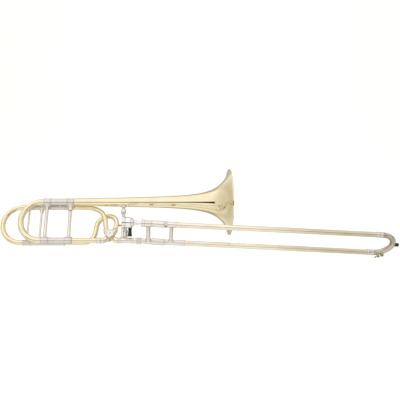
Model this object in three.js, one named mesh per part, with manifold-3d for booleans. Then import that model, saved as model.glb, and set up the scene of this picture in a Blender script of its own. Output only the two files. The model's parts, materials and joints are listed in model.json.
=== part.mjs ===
// Large-bore tenor trombone with an F attachment, in millimetres, +Z up.
// Origin: on the neck receiver's axis, where the slide section joins the bell section.
// +X runs along the bell's axis towards its rim; the player's right-hand side faces -Y.
//
// The horn frame holds the bell section: x along the bell, y behind it, z from neck to bell.
// The slide frame holds the slide section: x along the slide, z from lower to upper tube.
import * as THREE from 'three';
import { mergeVertices } from 'three/addons/utils/BufferGeometryUtils.js';
import Module from 'manifold-3d';

const wasm = await Module();
wasm.setup();

// ---------------------------------------------------------------- driving dimensions
const DEG = Math.PI / 180;
const GAP = 0.3;                       // between pieces that are soldered or pushed together
const ROUND = 16;                      // facets round a tube
const BELL_ROUND = 32;                 // facets round the bell

const HORN_TILT = 20 * DEG;            // bell plane leans away from the player's right side
const SLIDE_DIVERGENCE = 3 * DEG;      // slide axis runs away from the bell axis
const SLIDE_ROLL = 70 * DEG;           // angle between bell plane and slide plane

const BELL_HEIGHT = 131;               // bell axis above neck axis
const BELL_RIM_X = 294.2;
const BELL_RIM_R = 108;                // 8.5 in bell
const BELL_SEAM_X = 150;               // the spun flare is brazed to the drawn stem here
const BELL_TAIL_X = -211.5;
const RECEIVER_START = -286;
const RECEIVER_END = -211.9;
const BELL_WALL = 0.9;

const MAIN_BOW_X = -314;
const MAIN_TUBE_R = 9.45;
const MAIN_LEG_END = -238;
const F_BOW_X = -381;
const F_HEIGHT = 121.4;                // spacing of the two F tubes
const F_BEHIND = 22;                   // F tubes lie behind the main tubes
const F_TUBE_R = 7.8;
const F_LEG_END = -240;
const FERRULE_LENGTH = 25;
const NECK_R = 8.25;

const VALVE_X = -91.5;
const VALVE_Z = 17.5;
const CASING_R = 15.2;
const ROTOR_R = 12.9;
const CAP_R = 15;                      // also the rear plate and the stop plate
const VALVE_HALF = 14;                 // half the casing's length along y
const ROTOR_TURN = 90 * DEG;

const LEVER_X = -41.5;
const LEVER_Z = 38;
const LEVER_TURN = 27 * DEG;
const GRIP_X = 13.2;                   // grip axis, ahead of the lever pivot
const GRIP_Y = -7.5;
const GRIP_LOW = 12;
const GRIP_HIGH = 45.5;
const DRIVE_ARM = 30;                  // lever pivot to link pin
const STOP_ARM = DRIVE_ARM * Math.sin(LEVER_TURN / 2) / Math.sin(ROTOR_TURN / 2);
const STOP_ARM_REST = ROTOR_TURN / 2 - LEVER_TURN / 2;   // from straight down, towards -x
const LINK_Y = 25.6;                   // front face of the link rod
const LINK_THICK = 3;
const LINK_PIN_R = 1.2;
const LINK_EYE_R = 4;

const SLIDE_SPACING = 88;
const INNER_TUBE_R = 7.05;
const OUTER_TUBE_R = 7.95;
const OUTER_TUBE_BORE = 7.45;
const BARREL_START = 39;
const BARREL_END = 80;
const OUTER_START = 81;
const INNER_END = 717;
const OUTER_END = 739;
const INNER_BRACE_X = 30;
const OUTER_BRACE_X = 101;
const END_BOW_R = 8.45;
const END_WALL = 1;
const BUMPER_LENGTH = 11;

// The water key's own frame sits on the end bow: x along the bow, -y square to the slide's plane.
const KEY_ANGLE = 23 * DEG;            // round the end bow from its lower leg
const NIPPLE_X = 6;
const NIPPLE_REACH = 10.5;             // from the bow's centre line
const CORK_THICK = 3.4;
const KEY_PIN_X = -6;
const KEY_PIN_Y = -14;

const MOUTHPIECE_RIM_X = -50;
const MOUTHPIECE_LENGTH = 84;

// ---------------------------------------------------------------- materials
function finish(color, roughness, metalness) {
  return new THREE.MeshStandardMaterial({ color, roughness, metalness });
}
const brass = finish(0xd9b65c, 0.22, 1);
const nickel = finish(0xc9c5bb, 0.25, 1);
const silver = finish(0xdcdcde, 0.18, 1);
const steel = finish(0xa8a8aa, 0.35, 1);
const copper = finish(0xb06a50, 0.3, 1);
const rubber = finish(0x111111, 0.7, 0);
const cork = finish(0xb08a5c, 0.9, 0);

// ---------------------------------------------------------------- frames
const trombone = new THREE.Group();
const tiltFrame = new THREE.Group();
tiltFrame.rotation.x = -HORN_TILT;
trombone.add(tiltFrame);

// The neck bends towards the slide at the near end of the neck receiver.
const BEND_X = -22;
const hornFrame = new THREE.Group();
hornFrame.position.z = -BEND_X * Math.tan(SLIDE_DIVERGENCE);
tiltFrame.add(hornFrame);

const divergeFrame = new THREE.Group();
divergeFrame.rotation.y = SLIDE_DIVERGENCE;
tiltFrame.add(divergeFrame);
const slideFrame = new THREE.Group();
slideFrame.rotation.x = SLIDE_ROLL;
divergeFrame.add(slideFrame);

function place(frame, name, geometry, material, x = 0, y = 0, z = 0) {
  const mesh = new THREE.Mesh(geometry, material);
  mesh.name = name;
  mesh.position.set(x, y, z);
  frame.add(mesh);
}

// ---------------------------------------------------------------- shapes
// Outlines are lists of [position along the axis, radius], from low to high.
function lathe(outline, facets) {
  const points = outline.map(([along, radius]) => new THREE.Vector2(radius, along));
  return new THREE.LatheGeometry(points, facets);
}

// A hollow turned piece along x: an outer and an inner outline.
function sleeve(outer, inner, facets = ROUND) {
  const outline = [...outer, ...[...inner].reverse(), outer[0]];
  return lathe(outline, facets).rotateZ(-Math.PI / 2);
}

function tube(start, end, radius, bore, facets = ROUND) {
  return sleeve([[start, radius], [end, radius]], [[start, bore], [end, bore]], facets);
}

// A solid turned piece along x.
function turned(outline, facets = ROUND) {
  const first = outline[0];
  const last = outline[outline.length - 1];
  return lathe([[first[0], 0], ...outline, [last[0], 0]], facets).rotateZ(-Math.PI / 2);
}

function rod(start, end, radius, facets = ROUND) {
  return turned([[start, radius], [end, radius]], facets);
}

function alongY(geometry) {
  return geometry.rotateZ(Math.PI / 2);
}

function alongZ(geometry) {
  return geometry.rotateY(-Math.PI / 2);
}

function box(x0, x1, y0, y1, z0, z1) {
  const geometry = new THREE.BoxGeometry(x1 - x0, y1 - y0, z1 - z0);
  return geometry.translate((x0 + x1) / 2, (y0 + y1) / 2, (z0 + z1) / 2);
}

// A round section swept along a curve, hollow when bore is given.
function swept(path, radius, bore, steps, facets = 10) {
  const section = new THREE.Shape();
  section.absarc(0, 0, radius, 0, 2 * Math.PI, false);
  if (bore > 0) {
    const hole = new THREE.Path();
    hole.absarc(0, 0, bore, 0, 2 * Math.PI, true);
    section.holes.push(hole);
  }
  const curveSegments = facets / 2;    // three.js uses twice this many points round a circle
  const options = { steps, bevelEnabled: false, extrudePath: path, curveSegments };
  return new THREE.ExtrudeGeometry(section, options);
}

function through(points) {
  return new THREE.CatmullRomCurve3(points.map(([x, y, z]) => new THREE.Vector3(x, y, z)));
}

// A U-shaped path in the xz plane: in along x, half round, out along x.
class BowPath extends THREE.Curve {
  constructor(centreX, radius, openX, side) {
    super();
    Object.assign(this, { centreX, radius, openX, side });
  }

  getPoint(t, target = new THREE.Vector3()) {
    const straight = Math.abs(this.openX - this.centreX);
    const length = 2 * straight + Math.PI * this.radius;
    const travelled = t * length;
    const bend = THREE.MathUtils.clamp(travelled - straight, 0, Math.PI * this.radius) / this.radius;
    const lead = Math.max(straight - travelled, 0) + Math.max(travelled - length + straight, 0);
    const x = this.centreX + this.side * (this.radius * Math.sin(bend) - lead);
    return target.set(x, 0, this.radius * (1 - Math.cos(bend)));
  }
}

function helix(radius, pitch, turns, start) {
  const points = [];
  const perTurn = 10;
  for (let i = 0; i <= turns * perTurn; i += 1) {
    const angle = (i / perTurn) * 2 * Math.PI;
    const y = start + (i / perTurn) * pitch;
    points.push([radius * Math.cos(angle), y, radius * Math.sin(angle)]);
  }
  return through(points);
}

// ---------------------------------------------------------------- joining and cutting
function toSolid(geometry) {
  const bare = geometry.clone();
  bare.deleteAttribute('normal');
  bare.deleteAttribute('uv');
  const merged = mergeVertices(bare, 1e-4);
  const vertProperties = new Float32Array(merged.attributes.position.array);
  const triVerts = new Uint32Array(merged.index.array);
  return new wasm.Manifold(new wasm.Mesh({ numProp: 3, vertProperties, triVerts }));
}

function toGeometry(solid) {
  const mesh = solid.getMesh();
  const geometry = new THREE.BufferGeometry();
  geometry.setAttribute('position', new THREE.BufferAttribute(mesh.vertProperties, 3));
  geometry.setIndex(new THREE.BufferAttribute(mesh.triVerts, 1));
  return geometry;
}

function join(...shapes) {
  return toGeometry(shapes.map(toSolid).reduce((sum, solid) => sum.add(solid)));
}

function cut(shape, ...tools) {
  return toGeometry(tools.map(toSolid).reduce((rest, tool) => rest.subtract(tool), toSolid(shape)));
}

// A turned post between two tubes that run along x, with its ends hollowed to sit on them.
// lower and upper are the tubes' radii, span is the distance between their axes.
function brace(outline, span, lower, upper) {
  const reach = 30;
  const lowerTube = rod(-reach, reach, lower + GAP);
  const upperTube = rod(-reach, reach, upper + GAP).translate(0, 0, span);
  return cut(alongZ(turned(outline, 12)), lowerTube, upperTube);
}

// ---------------------------------------------------------------- bell section: bell and tubes
function bellRadius(x) {
  const back = BELL_RIM_X - x;
  const stem = 20.6 - 0.0178 * back;
  return stem + (BELL_RIM_R - 20.6) * (1 + back / 128) ** -3.74;
}

// Stations outside and inside the wall, crowded towards its end by a power above 1.
function bellWall(start, end, stations, crowding) {
  const outer = [];
  const inner = [];
  for (let i = 0; i <= stations; i += 1) {
    const x = end - (end - start) * (1 - i / stations) ** crowding;
    const slope = (bellRadius(x + 0.1) - bellRadius(x - 0.1)) / 0.2;
    const normal = BELL_WALL / Math.hypot(1, slope);
    outer.push([x, bellRadius(x)]);
    inner.push([x + (i ? slope * normal : 0), bellRadius(x) - normal]);
  }
  return [outer, inner];
}

function bellStem() {
  const [outer, inner] = bellWall(BELL_TAIL_X, BELL_SEAM_X - GAP, 5, 1.2);
  return sleeve(outer, inner, BELL_ROUND);
}

// The flare ends in a rolled bead with a narrow flat front.
function bellFlare() {
  const rim = BELL_RIM_X;
  const [outer, inner] = bellWall(BELL_SEAM_X, rim - 4.5, 10, 1.8);
  outer.push([rim - 3.9, BELL_RIM_R - 1.2], [rim - 3, BELL_RIM_R], [rim - 0.8, BELL_RIM_R]);
  outer.push([rim, BELL_RIM_R - 0.6]);
  inner.push([rim, BELL_RIM_R - 4.6]);
  return sleeve(outer, inner, BELL_ROUND);
}

function bellTubes(frame) {
  place(frame, 'bell_stem', bellStem(), brass, 0, 0, BELL_HEIGHT);
  place(frame, 'bell_flare', bellFlare(), brass, 0, 0, BELL_HEIGHT);
  const upperOuter = [[RECEIVER_START, 11.25], [-235, 11.25], [-235, 13], [RECEIVER_END, 13]];
  const upperInner = [[RECEIVER_START, 10.2], [RECEIVER_END, 10.2]];
  place(frame, 'upper_slide_receiver', sleeve(upperOuter, upperInner), nickel, 0, 0, BELL_HEIGHT);
  const lowerOuter = [[RECEIVER_START, 9.6], [-235, 9.6], [-235, 10.3], [RECEIVER_END, 10.3]];
  const lowerInner = [[RECEIVER_START, 8.7], [RECEIVER_END, 8.7]];
  place(frame, 'lower_slide_receiver', sleeve(lowerOuter, lowerInner), nickel);
  place(frame, 'neck_tube', tube(BELL_TAIL_X, -134.4, NECK_R, NECK_R - 0.9), brass);
  const inletOuter = [[-134, 9.4], [-131, 9.4], [-131, 8.9], [-120.9, 8.9]];
  place(frame, 'valve_inlet_ferrule', sleeve(inletOuter, [[-134, 7.2], [-120.9, 7.2]]), nickel);
  const rearBrace = [
    [0, 8], [14, 8], [17, 5.5], [98, 5.5], [101, 7.2], [112, 7.2], [115, 5.5], [118, 8], [BELL_HEIGHT, 8],
  ];
  const bodyBrace = brace(rearBrace, BELL_HEIGHT, 10.3, 13);
  place(frame, 'rear_brace', bodyBrace, nickel, -223);
}

function gooseneck() {
  const bend = new THREE.CurvePath();
  const start = new THREE.Vector3(VALVE_X + 27.3, 0, 0);
  const corner = new THREE.Vector3(BEND_X - 10, 0, 0);
  const end = new THREE.Vector3(BEND_X - 0.4, 0, -0.25);
  bend.add(new THREE.LineCurve3(start, new THREE.Vector3(BEND_X - 20, 0, 0)));
  bend.add(new THREE.QuadraticBezierCurve3(new THREE.Vector3(BEND_X - 20, 0, 0), corner, end));
  return swept(bend, NECK_R, NECK_R - 0.9, 5, 12);
}

function bellBrace() {
  const outline = [
    [0, 8], [12, 8], [15, 5.5], [88, 5.5], [92, 8.3], [104, 8.3], [108, 5.2], [112, 6.5], [BELL_HEIGHT, 6.5],
  ];
  return brace(outline, BELL_HEIGHT, NECK_R, bellRadius(-51) + 0.4);
}

function neckAndBrace(frame, slide) {
  place(frame, 'gooseneck', gooseneck(), nickel);
  place(frame, 'bell_brace', bellBrace(), nickel, -51);
  place(frame, 'loop_strut', rod(-63.2, -56.9, 2.6, 12), copper, 0, 4, 52);
  place(slide, 'neck_receiver', tube(BEND_X + 0.2, -4, 9.3, 8.5, 20), nickel);
}

// ---------------------------------------------------------------- bell section: F tubing
function fTubing(frame) {
  const upperRun = through([
    [-235.6, 22, 121.4], [-212, 22, 121.4], [-188, 22, 121], [-160, 20, 118.5], [-142, 18, 112.5],
    [-126, 14, 102], [-115, 9, 87], [-109.2, 6, 69], [-107.2, 2.5, 53], [-105.2, 0.2, 42], [-105, 0, 36.9],
  ]);
  const lowerRun = through([
    [-76, 0, 37.4], [-75.4, 0.2, 41], [-72.2, 3.4, 54], [-74, 8, 68], [-82, 12.5, 81], [-94, 18, 87.5],
    [-105, 22.5, 88.5], [-116, 26, 86], [-126, 28, 80], [-134.6, 28, 70], [-139, 27, 56], [-140.5, 26, 42],
    [-143, 24.5, 28], [-148.5, 23.5, 16], [-158, 22.5, 6.5], [-171, 22, 1.5], [-185, 22, 0],
    [-210, 22, 0], [-235.6, 22, 0],
  ]);
  const bore = F_TUBE_R - 0.8;
  place(frame, 'f_upper_tube', swept(upperRun, F_TUBE_R, bore, 17), brass);
  place(frame, 'f_lower_tube', swept(lowerRun, F_TUBE_R, bore, 32), brass);
  for (const [name, height] of [['f_upper_receiver', F_HEIGHT], ['f_lower_receiver', 0]]) {
    const outer = [[-347, 8.7], [-241, 8.7], [-241, 9.4], [-236, 9.4]];
    place(frame, name, sleeve(outer, [[-347, 7.9], [-236, 7.9]]), nickel, 0, F_BEHIND, height);
  }
  const outline = [[0, 6], [11, 6], [15, 3.5], [98, 3.5], [110, 7], [F_HEIGHT, 7]];
  const fixedBrace = brace(outline, F_HEIGHT, 8.7, 8.7);
  place(frame, 'f_fixed_brace', fixedBrace, nickel, -320, F_BEHIND);
}

// Short stays hold the F receivers behind the main receivers.
function stays(frame) {
  const drop = F_HEIGHT - BELL_HEIGHT;
  const places = [['f_upper_stay', BELL_HEIGHT, drop, 11.25], ['f_lower_stay', 0, 0, 9.6]];
  for (const [name, height, fall, radius] of places) {
    const span = Math.hypot(F_BEHIND, fall);
    const stay = alongY(rod(radius + GAP, span - 8.7 - GAP, 3, 12)).rotateX(Math.atan2(fall, F_BEHIND));
    place(frame, name, stay, nickel, -262, 0, height);
  }
}

// ---------------------------------------------------------------- rotary valve
// Each knuckle leaves the casing on a diagonal and bends to meet its tube.
function knucklePath(inner, corner, end) {
  const points = [inner, corner, end].map(([x, z]) => new THREE.Vector3(x, 0, z));
  return new THREE.QuadraticBezierCurve3(...points);
}

const F_PORT_Z = 18.5;                 // where the F tubes start, above the valve's axis
const KNUCKLES = [
  knucklePath([-7, -7], [-14, -VALVE_Z], [-29, -VALVE_Z]),
  knucklePath([7, -7], [14, -VALVE_Z], [27, -VALVE_Z]),
  knucklePath([-7, 4], [-13.5, 8], [-13.5, F_PORT_Z]),
  knucklePath([7, 6], [14.5, 9], [15.5, F_PORT_Z]),
];

function valveCasing() {
  const barrel = alongY(rod(-VALVE_HALF, VALVE_HALF, CASING_R, 32));
  const outside = KNUCKLES.map((path) => swept(path, 8.8, 0, 4));
  const inside = KNUCKLES.map((path) => swept(path, 6.9, 0, 4, 8));
  const chamber = alongY(rod(-VALVE_HALF - 1, VALVE_HALF + 1, ROTOR_R + 0.5, 32));
  const squared = [[-31, -28.8, -29, -6], [26.8, 29, -29, -6], [-25, 27, F_PORT_Z - 0.2, 24]];
  const ends = squared.map(([x0, x1, z0, z1]) => box(x0, x1, -12, 12, z0, z1));
  return cut(join(barrel, ...outside), chamber, ...inside, ...ends);
}

// The rotor's two bent passages join neighbouring knuckles.
function rotorPassage(side) {
  const centre = ROTOR_R * Math.SQRT2;
  const points = [];
  for (let i = 0; i <= 6; i += 1) {
    const angle = (-50 + (100 * i) / 6) * DEG;
    points.push([ROTOR_R * Math.sin(angle), 0, side * (centre - ROTOR_R * Math.cos(angle))]);
  }
  return swept(through(points), 4.8, 0, 6, 10);
}

function valveRotor() {
  const outline = [[-20, 3], [-13.6, 3], [-13.6, ROTOR_R], [13.6, ROTOR_R], [13.6, 3], [25.2, 3]];
  return cut(alongY(turned(outline, 28)), rotorPassage(1), rotorPassage(-1));
}

function stopArm() {
  const pinX = -STOP_ARM * Math.sin(STOP_ARM_REST);
  const pinZ = -STOP_ARM * Math.cos(STOP_ARM_REST);
  const hub = alongY(rod(22, 24.9, 6, 20));
  const end = alongY(rod(22, 24.9, 5.6, 20)).translate(pinX, 0, pinZ);
  const stemHole = alongY(rod(20, 27, 3.3, 20));
  const pinHole = alongY(rod(20, 27, 3.8, 20)).translate(pinX, 0, pinZ);
  return cut(join(hub, end), stemHole, pinHole);
}

function valve(frame) {
  const rear = alongY(tube(VALVE_HALF + GAP, 17.4, CAP_R, 3.6, 28));
  const capOuter = [[-24, 1.8], [-24, CAP_R - 1.4], [-22.6, CAP_R], [-VALVE_HALF - GAP, CAP_R]];
  const capInner = [[-21.5, 0], [-21.5, CAP_R - 2], [-VALVE_HALF - GAP, CAP_R - 2]];
  const capOutline = [[-25.8, 0], [-25.8, 1.8], ...capOuter, ...capInner.reverse()];
  const cap = alongY(lathe(capOutline, 28).rotateZ(-Math.PI / 2));
  const stopPlate = cut(
    alongY(tube(17.8, 20.6, CAP_R, 9, 28)),
    box(-20, 20, 16, 22, -20, 4),
  );
  place(frame, 'valve_casing', valveCasing(), brass, VALVE_X, 0, VALVE_Z);
  place(frame, 'valve_rear_plate', rear, nickel, VALVE_X, 0, VALVE_Z);
  place(frame, 'valve_cap', cap, nickel, VALVE_X, 0, VALVE_Z);
  place(frame, 'stop_plate', stopPlate, nickel, VALVE_X, 0, VALVE_Z);
  place(frame, 'valve_rotor', valveRotor(), brass, VALVE_X, 0, VALVE_Z);
  place(frame, 'stop_arm', stopArm(), steel, VALVE_X, 0, VALVE_Z);
}

// ---------------------------------------------------------------- thumb lever and link
function leverArm() {
  const hub = alongY(rod(-17.5, -14.5, 5, 20));
  const bar = box(-3.5, 3.5, -17.5, -14.5, 0, 11.5);
  const top = box(-3.5, GRIP_X + 3, -17.5, -14.5, 8.5, 11.5);
  const across = box(GRIP_X - 3.5, GRIP_X + 3.5, -17.5, GRIP_Y + 3, 8.5, 11.5);
  const pin = alongZ(rod(GRIP_LOW - LEVER_Z, 10, 2, 12)).translate(GRIP_X, GRIP_Y, 0);
  const shaftHole = alongY(rod(-20, -12, 2.3, 20));
  return cut(join(hub, bar, top, across, pin), shaftHole);
}

function thumbGrip() {
  const low = [[GRIP_LOW, 6.2], [GRIP_LOW + 1.2, 6.9], [GRIP_LOW + 5, 6.5], [GRIP_LOW + 11, 5.5]];
  const high = [[GRIP_HIGH - 11, 5.5], [GRIP_HIGH - 5, 6.5], [GRIP_HIGH - 1.2, 6.9], [GRIP_HIGH, 6.2]];
  return alongZ(sleeve([...low, ...high], [[GRIP_LOW, 2.4], [GRIP_HIGH, 2.4]], 14));
}

function driveArm() {
  const hub = alongY(rod(21, 24, 5.2, 20));
  const bar = box(-3.7, 3.7, 21, 24, -DRIVE_ARM, 0);
  const foot = alongY(rod(21, 24, 3.7, 20)).translate(0, 0, -DRIVE_ARM);
  const pin = alongY(rod(22, LINK_Y + LINK_THICK + 0.4, 1.4, 12)).translate(0, 0, -DRIVE_ARM);
  const shaftHole = alongY(rod(20, 26, 2.3, 20));
  return cut(join(hub, bar, foot, pin), shaftHole);
}

// The link hangs between the drive arm's pin and its own pin in the stop arm's wide hole.
function linkRod() {
  const stopX = VALVE_X - STOP_ARM * Math.sin(STOP_ARM_REST);
  const stopZ = VALVE_Z - STOP_ARM * Math.cos(STOP_ARM_REST);
  const driveZ = LEVER_Z - DRIVE_ARM;
  const rear = LINK_Y + LINK_THICK;
  const slope = Math.atan2(driveZ - stopZ, LEVER_X - stopX);
  const bar = box(0, LEVER_X - stopX, LINK_Y, rear, -2, 2).rotateY(-slope).translate(stopX, 0, stopZ);
  const eye = alongY(rod(LINK_Y, rear, LINK_EYE_R, 20)).translate(LEVER_X, 0, driveZ);
  const knob = alongY(rod(LINK_Y, rear, 3.2, 20)).translate(stopX, 0, stopZ);
  const pin = alongY(rod(22.2, rear, LINK_PIN_R, 12)).translate(stopX, 0, stopZ);
  const eyeHole = alongY(rod(LINK_Y - 1, rear + 1, 1.9, 20)).translate(LEVER_X, 0, driveZ);
  return cut(join(bar, eye, knob, pin), eyeHole);
}

function thumbLever(frame) {
  const bearing = alongY(tube(-10, 18, 3.6, 2.4, 20));
  const spring = swept(helix(3.4, 0.85, 2.5, 18.5), 0.3, 0, 24, 4);
  place(frame, 'lever_bearing', bearing, nickel, LEVER_X, 0, LEVER_Z);
  place(frame, 'lever_shaft', alongY(rod(-18.2, 24.8, 2, 20)), steel, LEVER_X, 0, LEVER_Z);
  place(frame, 'thumb_lever_arm', leverArm(), nickel, LEVER_X, 0, LEVER_Z);
  place(frame, 'thumb_grip', thumbGrip(), rubber, LEVER_X + GRIP_X, GRIP_Y, 0);
  place(frame, 'drive_arm', driveArm(), nickel, LEVER_X, 0, LEVER_Z);
  place(frame, 'lever_spring', spring, steel, LEVER_X, 0, LEVER_Z);
  place(frame, 'link_rod', linkRod(), steel);
}

// ---------------------------------------------------------------- tuning slides
// A leg is one turned tube: its ferrule, then the thinner part that slides in the receiver.
function tuningLeg(start, ferruleRadius, legRadius, end) {
  const step = start + FERRULE_LENGTH - 0.4;
  const outer = [[start, ferruleRadius], [step, ferruleRadius], [step, legRadius], [end, legRadius]];
  const bore = legRadius - 0.7;
  return sleeve(outer, [[start, bore], [end, bore]]);
}

function tuningSlides(frame) {
  const mainPath = new BowPath(MAIN_BOW_X, BELL_HEIGHT / 2, MAIN_BOW_X + 2.6, -1);
  place(frame, 'main_tuning_bow', swept(mainPath, MAIN_TUBE_R, MAIN_TUBE_R - 0.9, 14), brass);
  const mainUpper = tuningLeg(-311, 12.2, 9.8, MAIN_LEG_END);
  const mainLower = tuningLeg(-311, 10.6, 8.3, MAIN_LEG_END);
  place(frame, 'main_upper_leg', mainUpper, nickel, 0, 0, BELL_HEIGHT);
  place(frame, 'main_lower_leg', mainLower, nickel);
  const mainOutline = [[0, 8], [14, 8], [17, 5.5], [112, 5.5], [115, 8], [BELL_HEIGHT, 8]];
  place(frame, 'main_slide_brace', brace(mainOutline, BELL_HEIGHT, 10.6, 12.2), nickel, -298.5);

  const fPath = new BowPath(F_BOW_X, F_HEIGHT / 2, F_BOW_X + 8.5, -1);
  place(frame, 'f_tuning_bow', swept(fPath, F_TUBE_R, F_TUBE_R - 0.8, 14), brass, 0, F_BEHIND, 0);
  place(frame, 'f_upper_leg', tuningLeg(-372, 9.2, 7.5, F_LEG_END), nickel, 0, F_BEHIND, F_HEIGHT);
  place(frame, 'f_lower_leg', tuningLeg(-372, 9.2, 7.5, F_LEG_END), nickel, 0, F_BEHIND, 0);
  const fOutline = [[0, 5.5], [12, 5.5], [14, 3.2], [107, 3.2], [109, 5.5], [F_HEIGHT, 5.5]];
  place(frame, 'f_slide_brace', brace(fOutline, F_HEIGHT, 9.2, 9.2), nickel, -360, F_BEHIND, 0);
}

// ---------------------------------------------------------------- slide section: inner slide
function innerSlide(frame) {
  const tenonOuter = [[-16, 8.1], [22, 8.1], [22, 9.3], [BARREL_START - 0.6, 9.3]];
  const tenonInner = [[-16, 6.9], [BARREL_START - 0.6, 6.9]];
  place(frame, 'slide_tenon', sleeve(tenonOuter, tenonInner, 20), nickel);
  const nutOuter = [[-7, 10.8], [-6, 11.5], [7, 11.5], [8, 10.8]];
  const nutInner = [[-7, 9.8], [-3.6, 9.8], [-3.6, 8.6], [8, 8.6]];
  place(frame, 'slide_nut', sleeve(nutOuter, nutInner, 20), nickel);

  const receiverOuter = [[9, 11.4], [19.5, 11.4], [20.5, 9.8], [BARREL_START - 0.6, 9.8]];
  const receiverInner = [[9, 6.9], [BARREL_START - 0.6, 6.4]];
  const receiver = sleeve(receiverOuter, receiverInner);
  place(frame, 'mouthpiece_receiver', receiver, nickel, 0, 0, SLIDE_SPACING);

  for (const [name, height] of [['lower', 0], ['upper', SLIDE_SPACING]]) {
    const barrelOuter = [
      [BARREL_START, 9.8], [BARREL_START + 1, 10.5], [BARREL_END - 3, 10.5], [BARREL_END, 10.8],
    ];
    const barrelInner = [[BARREL_START, 7.4], [BARREL_END, 7.4]];
    place(frame, `${name}_cork_barrel`, sleeve(barrelOuter, barrelInner), nickel, 0, 0, height);
    const inner = tube(BARREL_START, INNER_END, INNER_TUBE_R, INNER_TUBE_R - 0.5);
    place(frame, `${name}_inner_tube`, inner, nickel, 0, 0, height);
  }

  const outline = [[0, 11], [13, 11], [20, 6.8], [70, 6.8], [74, 8.5], [SLIDE_SPACING, 8.5]];
  const handBrace = brace(outline, SLIDE_SPACING, 9.3, 9.8);
  place(frame, 'inner_slide_brace', trimEnds(handBrace), nickel, INNER_BRACE_X);
  const lock = tube(BARREL_END + 0.4, BARREL_END + 8.4, 10.9, 9.5, 28);
  place(frame, 'slide_lock_ring', lock, nickel, 0, 0, SLIDE_SPACING);
}

// The brace's flared foot stays clear of the cork barrel beside it.
function trimEnds(geometry) {
  return cut(geometry, box(8, 20, -20, 20, -20, 120));
}

function mouthpiece(frame) {
  const rim = MOUTHPIECE_RIM_X;
  const end = rim + MOUTHPIECE_LENGTH;
  const outer = [
    [rim, 16.2], [rim + 1.2, 18.5], [rim + 3.5, 19.5], [rim + 7, 19.2], [rim + 11.5, 16.7], [rim + 14, 16.3],
    [rim + 25, 16.2], [rim + 30.5, 14.4], [rim + 34.8, 11], [rim + 38, 7.2], [rim + 56, 6.3], [end, 5.8],
  ];
  const inner = [
    [rim, 13.8], [rim + 2.5, 12.9], [rim + 12, 12], [rim + 22, 9], [rim + 28, 5.2], [rim + 32, 3.6],
    [rim + 40, 3.4], [end, 5],
  ];
  place(frame, 'mouthpiece', sleeve(outer, inner), silver, 0, 0, SLIDE_SPACING);
}

// ---------------------------------------------------------------- slide section: outer slide
const END_RADIUS = SLIDE_SPACING / 2;

function outerSlide(frame) {
  const legs = [
    { name: 'lower', height: 0, sleeveEnd: 146, ferruleLength: 19.5 },
    { name: 'upper', height: SLIDE_SPACING, sleeveEnd: 115, ferruleLength: 15 },
  ];
  for (const { name, height, sleeveEnd, ferruleLength } of legs) {
    const outer = tube(OUTER_START, OUTER_END - 0.4, OUTER_TUBE_R, OUTER_TUBE_BORE);
    place(frame, `${name}_outer_tube`, outer, brass, 0, 0, height);
    const over = tube(OUTER_START, sleeveEnd, 9.1, 8.3);
    place(frame, `${name}_oversleeve`, over, nickel, 0, 0, height);
    const ferrule = tube(OUTER_END - ferruleLength, OUTER_END - 0.4, 9.3, 8.3);
    place(frame, `${name}_end_ferrule`, ferrule, nickel, 0, 0, height);
  }
  const outline = [[0, 8], [12, 8], [15, 6.2], [73, 6.2], [76, 8], [SLIDE_SPACING, 8]];
  const handBrace = brace(outline, SLIDE_SPACING, 9.1, 9.1);
  place(frame, 'outer_slide_brace', handBrace, nickel, OUTER_BRACE_X);
}

// Moves a shape drawn in the water key's frame onto the end bow.
function onEndBow(geometry) {
  const x = OUTER_END + END_RADIUS * Math.sin(KEY_ANGLE);
  const z = END_RADIUS * (1 - Math.cos(KEY_ANGLE));
  return geometry.rotateY(-KEY_ANGLE).translate(x, 0, z);
}

// A rod along -y, from near to far below the bow's centre line.
function hanging(near, far, radius) {
  return alongY(rod(-far, -near, radius, 12)).translate(NIPPLE_X, 0, 0);
}

function endBow(frame) {
  const path = new BowPath(OUTER_END, END_RADIUS, OUTER_END + 0.3, 1);
  const bend = swept(path, END_BOW_R, END_BOW_R - END_WALL, 14, 12);
  const nipple = onEndBow(hanging(END_BOW_R - 1.4, NIPPLE_REACH, 4));
  const hole = onEndBow(hanging(4, NIPPLE_REACH + 1, 2.2));
  const ears = [-1, 1].map((side) => {
    const z = side * 4.8;
    return onEndBow(box(KEY_PIN_X - 3, KEY_PIN_X + 3, KEY_PIN_Y - 3, -5, z - 0.8, z + 0.8));
  });
  const pinHole = onEndBow(alongZ(rod(-8, 8, 2.5, 16)).translate(KEY_PIN_X, KEY_PIN_Y, 0));
  const bore = swept(path, END_BOW_R - END_WALL, 0, 14, 12);
  place(frame, 'end_bow', cut(join(bend, nipple, ...ears), hole, pinHole, bore), nickel);
  const seat = swept(path, END_BOW_R + GAP, 0, 14, 12);
  const tip = OUTER_END + END_RADIUS + END_BOW_R + BUMPER_LENGTH;
  const bumper = turned([[tip - BUMPER_LENGTH - 4, 5.5], [tip - 1, 5.5], [tip, 4.4]], 20);
  place(frame, 'slide_bumper', cut(bumper.translate(0, 0, END_RADIUS), seat), rubber);
}

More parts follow.
